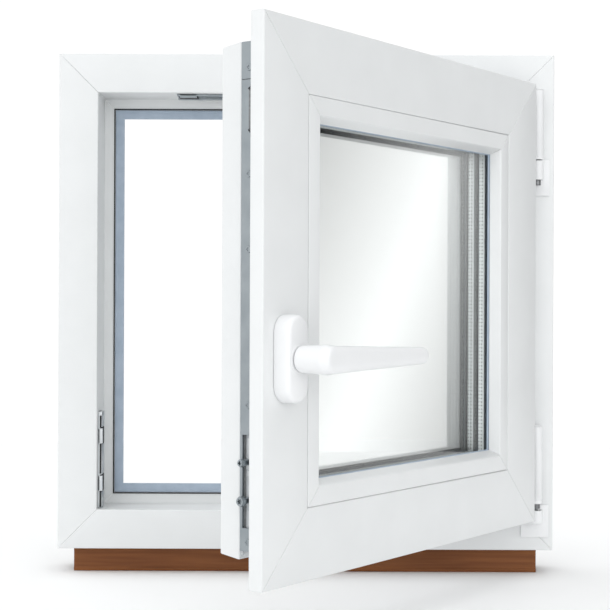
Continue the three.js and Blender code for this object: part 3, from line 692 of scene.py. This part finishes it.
def tilt_keep():
    """Lock-side keep: two tabs, a notched wall behind them, and black blocks of painted shade in the gaps
    between.
    """
    low, high = drawn_box("tilt_keep")
    tabs = ((18 * MM, 34 * MM), (68 * MM, 84 * MM))
    beside = 1.2 * MM
    tab_top = low.x + 4.6 * MM
    slot_top = low.x + 3.6 * MM
    tab_deep = 4 * MM
    wall_front = low.y + 1.2 * MM
    base = eased_block(low, Vector((low.x + 1.6 * MM, high.y, high.z)), 0.2 * MM)
    parts = [base]
    shade_blocks = []
    edge = low.z
    for start, end in tabs:
        z0, z1 = low.z + start, low.z + end
        parts.append(eased_block(
            Vector((low.x, low.y, z0)), Vector((tab_top, low.y + tab_deep, z1)), 0.4 * MM))
        parts.append(eased_block(
            Vector((low.x, wall_front, edge)), Vector((high.x, high.y, z0 - beside)), 0.4 * MM))
        # Black block behind each tab: painted shade for the dark recess there.
        shade_blocks.append(eased_block(
            Vector((low.x + 1.7 * MM, low.y + tab_deep + 0.3 * MM, z0 - 1 * MM)),
            Vector((slot_top, high.y - 0.3 * MM, z1 + 1 * MM)), 0.2 * MM))
        shade_blocks.append(painted_gap_shade(low, edge + 1 * MM, z0 - 0.4 * MM))
        edge = z1 + beside
    parts.append(eased_block(Vector((low.x, wall_front, edge)), high, 0.4 * MM))
    shade_blocks.append(painted_gap_shade(low, edge, high.z - 4 * MM))
    y = high.y - 6 * MM
    sunk_x = high.x - 0.1 * MM
    for z in (low.z + 7 * MM, low.z + 50 * MM, high.z - 7 * MM):
        screw = recessed_head(2.6 * MM, 0.3 * MM, 4, 1.2 * MM)
        parts.append(facing(screw, Vector((sunk_x, y, z)), (1, 0, 0)))
    piece_from("tilt_keep_body", merge(parts), "frame", "zinc", ["tilt_keep"], LIT_ZINC_COPY)
    # Black blocks that stand in for the shade in the keep's gaps.
    piece_from("tilt_keep_painted_shade", merge(shade_blocks), "frame", "black_rubber")


def top_keep():
    """Head keep: base, back wall, one tab and a black block of painted shade in the slot beside it, with two
    screws.
    """
    low, high = drawn_box("top_keep")
    tab_end = low.x + 21 * MM
    parts = [
        eased_block(Vector((low.x, low.y, high.z - 1.6 * MM)), high, 0.2 * MM),
        eased_block(Vector((low.x, high.y - 3 * MM, low.z)), high, 0.4 * MM),
        eased_block(
            Vector((low.x + 3 * MM, low.y, low.z)), Vector((tab_end, low.y + 4 * MM, high.z)), 0.4 * MM),
    ]
    y = (low.y + high.y) / 2
    for x in (tab_end + 8 * MM, high.x - 6 * MM):
        parts.append(facing(
            recessed_head(2.9 * MM, 0.8 * MM, 4, 1.25 * MM), Vector((x, y, high.z - 1.6 * MM)), (0, 0, -1)))
    # Black block filling the slot: painted shade for the slot's shadow.
    shade_block = eased_block(
        Vector((low.x + 2 * MM, low.y + 4.6 * MM, low.z + 0.6 * MM)),
        Vector((tab_end + 1 * MM, high.y - 3.4 * MM, high.z - 1.7 * MM)), 0.2 * MM)
    # Body in the darker zinc copy, standing in for the shade on this keep.
    piece_from("top_keep_body", merge(parts), "frame", "zinc", ["top_keep"])
    piece_from("top_keep_painted_shade", shade_block, "frame", "black_rubber")


def guard_lever():
    """Mishandling lever: a slim arm between two studs, on a tail that runs into the lock."""
    low, high = drawn_box("mishandling_lever")
    y = (low.y + high.y) / 2
    radius = (high.y - low.y) / 2
    stud_back = low.x + 5 * MM
    parts = [
        eased_block(
            Vector((low.x + 0.6 * MM, y - 1.1 * MM, low.z + radius)),
            Vector((low.x + 2.2 * MM, y + 1.1 * MM, high.z - radius)), 0.3 * MM),
        eased_block(
            Vector((stud_back, y - 1.5 * MM, high.z - 2 * radius)),
            Vector((high.x, y + 1.5 * MM, high.z - 0.5 * MM)), 0.3 * MM),
    ]
    for z in (low.z + radius, high.z - radius):
        head = recessed_head(radius, stud_back - low.x, 4, 0.5 * radius)
        parts.append(facing(head, Vector((stud_back, y, z)), (-1, 0, 0)))
    piece_from("mishandling_lever_arm", merge(parts), "mishandling_lever", "zinc", ["mishandling_lever"],
               LOOKS["dark_steel"])


def cam(node, lobes, neck):
    """Locking cam: waisted stem, rim with a rolled edge and a key recess in its face."""
    low, high = drawn_box(node)
    y, z = (low.y + high.y) / 2, (low.z + high.z) / 2
    radius = (high.z - low.z) / 2
    height = high.x - low.x
    rim = 0.32 * height
    stem = 2.6 * MM
    profile = [
        (0, 0), (stem, 0), (stem, height - rim - neck), (0.8 * radius, height - rim - 0.4 * neck),
        (0.8 * radius, height - rim), (0, height - rim),
    ]
    body = facing(turned_shell(profile, Vector(), steps=40), Vector((high.x, y, z)), (-1, 0, 0))
    head = recessed_head(radius, rim, lobes, 0.42 * radius)
    head = facing(head, Vector((low.x + rim, y, z)), (-1, 0, 0))
    piece_from(f"{node}_head", merge([body, head]), "side_rod", "zinc", [node])


# ---- hinge covers --------------------------------------------------------------------------------


def cover_profile(inner, outer, low, high, groove=None):
    """Wall of a cover from its inside bottom round to its inside top, with an optional ring groove."""
    ease = 0.5 * MM
    points = [(inner, low), (outer - ease, low), (outer, low + ease)]
    if groove is not None:
        deep, wide = 0.45 * MM, 0.6 * MM
        points += [(outer, groove - wide), (outer - deep, groove), (outer, groove + wide)]
    points += [(outer, high - 2 * ease), (outer - 0.6 * ease, high - 0.5 * ease), (outer - 2 * ease, high)]
    points.append((inner, high))
    return points


def hinge_cover(node, body, inner, outer, mouth, groove=None, dome=False):
    """White shell round a knuckle, open towards the frame or sash behind it."""
    low, high = drawn_box(node)
    axis = Vector((hinge.x, hinge.y, 0))
    top = high.z - (1.0 * MM if dome else 0.0)
    profile = cover_profile(inner, outer, low.z, top, groove)
    parts = [turned_shell(profile, axis, math.tau - 2 * mouth, math.pi / 2 + mouth)]
    if dome:
        lid = [(0, top + 0.05 * MM), (outer - 0.3 * MM, top + 0.05 * MM), (outer - 0.6 * MM, top + 0.5 * MM),
               (outer - 2 * MM, top + 0.85 * MM), (0, high.z)]
        parts.append(turned_shell(lid, axis))
    piece_from(f"{node}_shell", merge(parts), body, "white_pvc", [node], MOULDED)


def hinge_covers():
    """White covers of both hinges, with the bearings under them."""
    knuckle = 5.5 * MM
    shell = 6.6 * MM
    wide = math.radians(49)
    narrow = math.radians(36)
    arm_low = drawn_box("stay_arm_cover")[0].z
    hinge_cover("stay_arm_cover", "stay_arm", knuckle, shell, wide, arm_low + 3 * MM, dome=True)
    hinge_cover("stay_bearing_cover", "frame", knuckle, shell, narrow)
    hinge_low = drawn_box("corner_hinge_cover")[0].z
    hinge_cover("corner_hinge_cover", "sash", knuckle, shell, wide, hinge_low + 4 * MM, dome=True)
    bearing_cup()
    cup_low = drawn_box("corner_bearing_cap")[0].z
    bearing("corner_bearing", cup_low + 1.2 * MM, 9 * MM, 5.9 * MM, 4.9 * MM)
    stay_low = drawn_box("stay_bearing_cover")[0].z
    bearing("stay_bearing", stay_low, 20 * MM, 5.2 * MM, 3.3 * MM)


def bearing(node, knuckle_low, knuckle_tall, outer, bore):
    """Bearing on the frame: white cover plate, steel web and the steel knuckle or cup."""
    low, high = drawn_box(node)
    plate_y = high.y - 2 * MM
    web_half = 3.2 * MM
    middle = Vector((hinge.x, hinge.y, 0))
    plate = eased_block(Vector((low.x, plate_y, low.z)), high, 0.7 * MM)
    piece_from(f"{node}_plate", plate, "frame", "white_pvc", [node], MOULDED)
    web = eased_block(
        Vector((hinge.x - web_half, hinge.y + bore, knuckle_low)),
        Vector((hinge.x + web_half, plate_y + 0.3 * MM, knuckle_low + 0.6 * knuckle_tall)), 0.3 * MM)
    ring_high = min(high.z, knuckle_low + knuckle_tall)
    ring = [(bore, knuckle_low), (outer, knuckle_low), (outer, ring_high), (bore, ring_high)]
    piece_from(f"{node}_knuckle", merge([web, turned_shell(ring, middle)]), "frame", "zinc")


def bearing_cup():
    """White cap of the corner bearing: a cup with a rounded foot, open towards the frame."""
    low, high = drawn_box("corner_bearing_cap")
    axis = Vector((hinge.x, hinge.y, 0))
    outer = hinge.y - low.y
    inner = 6.2 * MM
    mouth = math.radians(38)
    base = low.z + 0.7 * MM
    wall = [
        (inner, base), (outer - 0.2 * MM, base), (outer, base + 1.2 * MM),
        (outer, high.z - 0.8 * MM), (outer - 0.4 * MM, high.z), (inner, high.z),
    ]
    foot = [
        (0, base), (0, low.z), (outer - 2.6 * MM, low.z),
        (outer - 1.0 * MM, low.z + 0.25 * MM), (outer - 0.2 * MM, base),
    ]
    parts = [turned_shell(wall, axis, math.tau - 2 * mouth, math.pi / 2 + mouth), turned_shell(foot, axis)]
    piece_from("corner_bearing_cup", merge(parts), "frame", "white_pvc", ["corner_bearing_cap"], MOULDED)


# ---- handle --------------------------------------------------------------------------------------

spindle_low, spindle_high = drawn_box("handle_spindle")
handle_centre = (spindle_low + spindle_high) / 2


def pill(half_wide, half_tall, steps=14):
    """Upright pill outline, anticlockwise from its right side."""
    rise = half_tall - half_wide
    points = []
    for centre, start in ((rise, 0), (-rise, math.pi)):
        for k in range(steps + 1):
            angle = start + math.pi * k / steps
            points.append((half_wide * math.cos(angle), centre + half_wide * math.sin(angle)))
    return points


def rosette():
    """Handle plate: crowned pill with a generous edge and a bearing collar round the neck."""
    low, high = drawn_box("handle_rosette")
    half_wide = (high.x - low.x) / 2
    half_tall = (high.z - low.z) / 2
    front = high.y
    tall = high.y - low.y
    edge = 5.0 * MM
    bm = bmesh.new()
    steps = 14
    levels = [(0.4 * MM, 0.0), (0.0, 0.5 * MM), (0.25 * MM, tall - edge)]
    for k in range(1, 6):
        angle = math.pi / 2 * k / 6
        inset = 0.25 * MM + edge * (1 - math.cos(angle)) * 0.9
        levels.append((inset, tall - edge + (edge - 0.5 * MM) * math.sin(angle)))
    rings = []
    for inset, height in levels:
        outline = pill(half_wide - inset, half_tall - inset, steps)
        rings.append([
            bm.verts.new((handle_centre.x + x, front - height, handle_centre.z + z)) for x, z in outline])
    count = len(rings[0])
    collar = ((11.6 * MM, tall - 0.35 * MM), (11.3 * MM, tall), (8.2 * MM, tall), (8.2 * MM, 0.0))
    for radius, height in collar:
        ring = []
        for k in range(count):
            share = k if k <= steps else k - 1
            angle = math.pi * share / steps
            ring.append(bm.verts.new((
                handle_centre.x + radius * math.cos(angle), front - height,
                handle_centre.z + radius * math.sin(angle))))
        rings.append(ring)
    bridge(bm, rings, closed=True)
    piece_from("handle_rosette_plate", bm, "sash", "white_pvc", ["handle_rosette"], MOULDED)


def grip_rings(bm, length, root, tip, back, front):
    """Loft of rounded sections along the lever, from its round root to its round tip."""
    middle = (back + front) / 2
    thick = abs(front - back) / 2
    tip_x = length - tip
    stations = [-root * math.cos(math.pi / 2 * k / 7) for k in range(7)]
    stations += [tip_x * k / 14 for k in range(15)]
    stations += [tip_x + tip * math.sin(math.pi / 2 * k / 7) for k in range(1, 8)]
    rings = []
    for x in stations:
        if x < 0:
            tall = math.sqrt(max(root ** 2 - x ** 2, 0))
        elif x > tip_x:
            tall = math.sqrt(max(tip ** 2 - (x - tip_x) ** 2, 0))
        else:
            tall = root + (tip - root) * x / tip_x
        tall = max(tall, 0.6 * MM)
        fat = thick * min(1.0, 0.35 + 1.2 * tall / root)
        ring = []
        for k in range(32):
            angle = math.tau * k / 32
            c, s = math.cos(angle), math.sin(angle)
            ring.append(bm.verts.new((
                x, middle + fat * math.copysign(abs(s) ** 0.72, s), tall * math.copysign(abs(c) ** 0.8, c))))
        rings.append(ring)
    bridge(bm, rings)
    bm.faces.new(rings[0])
    bm.faces.new(rings[-1])


def lever():
    """Handle lever: tapering grip that grows out of a waisted neck."""
    low, high = drawn_box("handle_lever")
    root = (high.z - low.z) / 2
    grip_back = low.y + 11 * MM
    bm = bmesh.new()
    tip = 7.4 * MM
    grip_front = low.y + 0.6 * MM
    grip_rings(bm, high.x - handle_centre.x, root, tip, grip_back, grip_front)
    neck = [(0, 0), (10.4, 0), (10.8, 1), (11.0, 6), (11.2, 13), (11.6, 20), (12.2, 27), (0, 30)]
    stem = turned_shell([(r * MM, z * MM) for r, z in neck], Vector(), steps=40)
    stem.transform(Matrix.Translation((0, high.y, 0)) @ Matrix.Rotation(math.pi / 2, 4, "X"))
    whole = merge([bm, stem])
    whole.transform(Matrix.Translation((handle_centre.x, 0, handle_centre.z)))
    piece = piece_from("handle_lever_grip", whole, "handle", "white_pvc", ["handle_lever"], MOULDED)
    remesh = piece.modifiers.new("one skin", "REMESH")
    remesh.mode = "VOXEL"
    remesh.voxel_size = 0.9 * MM
    smooth = piece.modifiers.new("soft joins", "SMOOTH")
    smooth.factor = 0.5
    smooth.iterations = 24
    baked(piece)


# ---- CAD nodes that keep their shape -------------------------------------------------------------


def finish_cad_nodes():
    """Gives every shown CAD node its slot's material, and small metal parts eased edges."""
    eased = {"zinc": 0.3 * MM, "galvanised_steel": 0.2 * MM, "seal_grey": 0.3 * MM}
    for row in frame["record"]["subparts"]:
        node = frame["nodes"][row["node"]]
        slot = row["material_slot"]
        for held in node.material_slots:
            held.material = LOOKS[slot]
        if slot in eased and not node.hide_render:
            weld = node.modifiers.new("weld", "WELD")
            weld.merge_threshold = 1e-6
            bevel = node.modifiers.new("eased edges", "BEVEL")
            bevel.width = eased[slot]
            bevel.segments = 2
            bevel.limit_method = "ANGLE"
            bevel.angle_limit = math.radians(40)


# ---- studio --------------------------------------------------------------------------------------


def pale_floor():
    look = Look("pale_floor", Specular_IOR_Level=0.2)
    look.colour(look.between(look.noise(0.4), (0.93, 0.93, 0.93), (0.95, 0.95, 0.95)))
    look.roughness(look.ranged(look.noise(0.05), 0.75, 0.9))
    return look.material


FLOOR_RADIUS = 1.45
FLOOR_GAP = 0.2 * MM


def floor():
    """Round floor; it ends early enough for the glass to mirror the strip light beyond it."""
    bm = bmesh.new()
    bmesh.ops.create_circle(bm, cap_ends=True, segments=96, radius=FLOOR_RADIUS)
    mesh = bpy.data.meshes.new("floor")
    bm.to_mesh(mesh)
    bm.free()
    mesh.materials.append(pale_floor())
    ground = bpy.data.objects.new("floor", mesh)
    ground.location.z = -FLOOR_GAP
    bpy.context.scene.collection.objects.link(ground)


def area_light(name, place, target, size, power):
    data = bpy.data.lights.new(name, "AREA")
    data.shape = "SQUARE"
    data.size = size
    data.energy = power
    lamp = bpy.data.objects.new(name, data)
    lamp.location = place
    lamp.rotation_euler = (Vector(target) - Vector(place)).to_track_quat("-Z", "Y").to_euler()
    bpy.context.scene.collection.objects.link(lamp)


# Brightness of the surroundings as a light: a mean, and how it grows along X, Y and Z. To the right lies
# a dim patch that the glass mirrors, with one bright strip in the plane with the normal STRIP_PLANE.
SKY_MEAN = 0.76
SKY_SLOPE = (-0.34, -0.38, 0.36)
SKY_DIM = 0.04
STRIP_GLOW = 1.45
STRIP_PLANE = (-0.3205, 0.8839, -0.3405)
STRIP_HALF = 0.09
PATCH_CENTRE = (0.943, 0.332, 0.0)
PATCH_EDGE = 0.80
PATCH_FULL = 0.965
BACKDROP = 1.05


def studio_world():
    """White backdrop for the camera, and soft uneven surroundings as the light."""
    world = bpy.data.worlds.new("studio")
    bpy.context.scene.world = world
    world.use_nodes = True
    tree = world.node_tree
    tree.nodes.clear()

    def node(kind, *inputs):
        made = tree.nodes.new(kind)
        for socket, value in zip(made.inputs, inputs):
            if isinstance(value, bpy.types.NodeSocket):
                tree.links.new(value, socket)
            elif value is not None:
                socket.default_value = value
        return made

    def result_of(operation, first, second=0.0, clamp=False):
        made = node("ShaderNodeMath", first, second)
        made.operation = operation
        made.use_clamp = clamp
        return made.outputs[0]

    direction = node("ShaderNodeTexCoord").outputs["Generated"]
    off_strip = node("ShaderNodeVectorMath", direction, STRIP_PLANE)
    off_strip.operation = "DOT_PRODUCT"
    distance = result_of("ABSOLUTE", off_strip.outputs["Value"])
    strip = result_of("SUBTRACT", 1.0, result_of("DIVIDE", distance, STRIP_HALF), clamp=True)
    near_patch = node("ShaderNodeVectorMath", direction, PATCH_CENTRE)
    near_patch.operation = "DOT_PRODUCT"
    inside = near_patch.outputs["Value"]
    right = node("ShaderNodeMapRange", inside, PATCH_EDGE, PATCH_FULL, 0.0, 1.0).outputs[0]
    to_light = node("ShaderNodeVectorMath", direction, SKY_SLOPE)
    to_light.operation = "DOT_PRODUCT"
    sky = result_of("ADD", to_light.outputs["Value"], SKY_MEAN)
    patch = result_of("ADD", SKY_DIM, result_of("MULTIPLY", strip, STRIP_GLOW))
    kept = result_of("MULTIPLY", sky, result_of("SUBTRACT", 1.0, right))
    lit = result_of("ADD", kept, result_of("MULTIPLY", patch, right))
    seen = node("ShaderNodeLightPath").outputs["Is Camera Ray"]
    backdrop = node("ShaderNodeBackground", (1, 1, 1, 1), BACKDROP)
    light = node("ShaderNodeBackground", (0.985, 0.995, 1, 1), lit)
    mixed = node("ShaderNodeMixShader", seen, light.outputs[0], backdrop.outputs[0])
    output = tree.nodes.new("ShaderNodeOutputWorld")
    tree.links.new(mixed.outputs[0], output.inputs["Surface"])


LENS = 82.26
EYE = Vector((-0.95, -1493.8, 283.3)) * MM
PITCH = math.radians(-0.026)
ROLL = math.radians(-0.232)


def camera():
    data = bpy.data.cameras.new("camera")
    data.lens = LENS
    data.sensor_width = 36
    eye = bpy.data.objects.new("camera", data)
    level = Matrix.Rotation(math.pi / 2, 4, "X")
    lean = Matrix.Rotation(PITCH, 4, "X") @ Matrix.Rotation(ROLL, 4, "Y")
    eye.matrix_world = Matrix.Translation(EYE) @ lean @ level
    bpy.context.scene.collection.objects.link(eye)
    bpy.context.scene.camera = eye


# ---- build ---------------------------------------------------------------------------------------

profile_bars()
cut_handle_bore()
seals()
spacers()
sill()
screws()
tilt_keep()
top_keep()
guard_lever()
cam("roller_cam", 6, 0.6 * MM)
cam("locking_cam", 4, 1.6 * MM)
hinge_covers()
rosette()
lever()
finish_cad_nodes()
floor()
studio_world()
area_light("key", place=(0.8, -1.7, 0.6), target=(0, -0.1, 0.25), size=1.0, power=4.0)
area_light("overhead", place=(0.0, 0.3, 2.6), target=(0, 0.2, 0), size=3.0, power=13.0)
camera()
bpy.context.scene.view_settings.view_transform = "Standard"
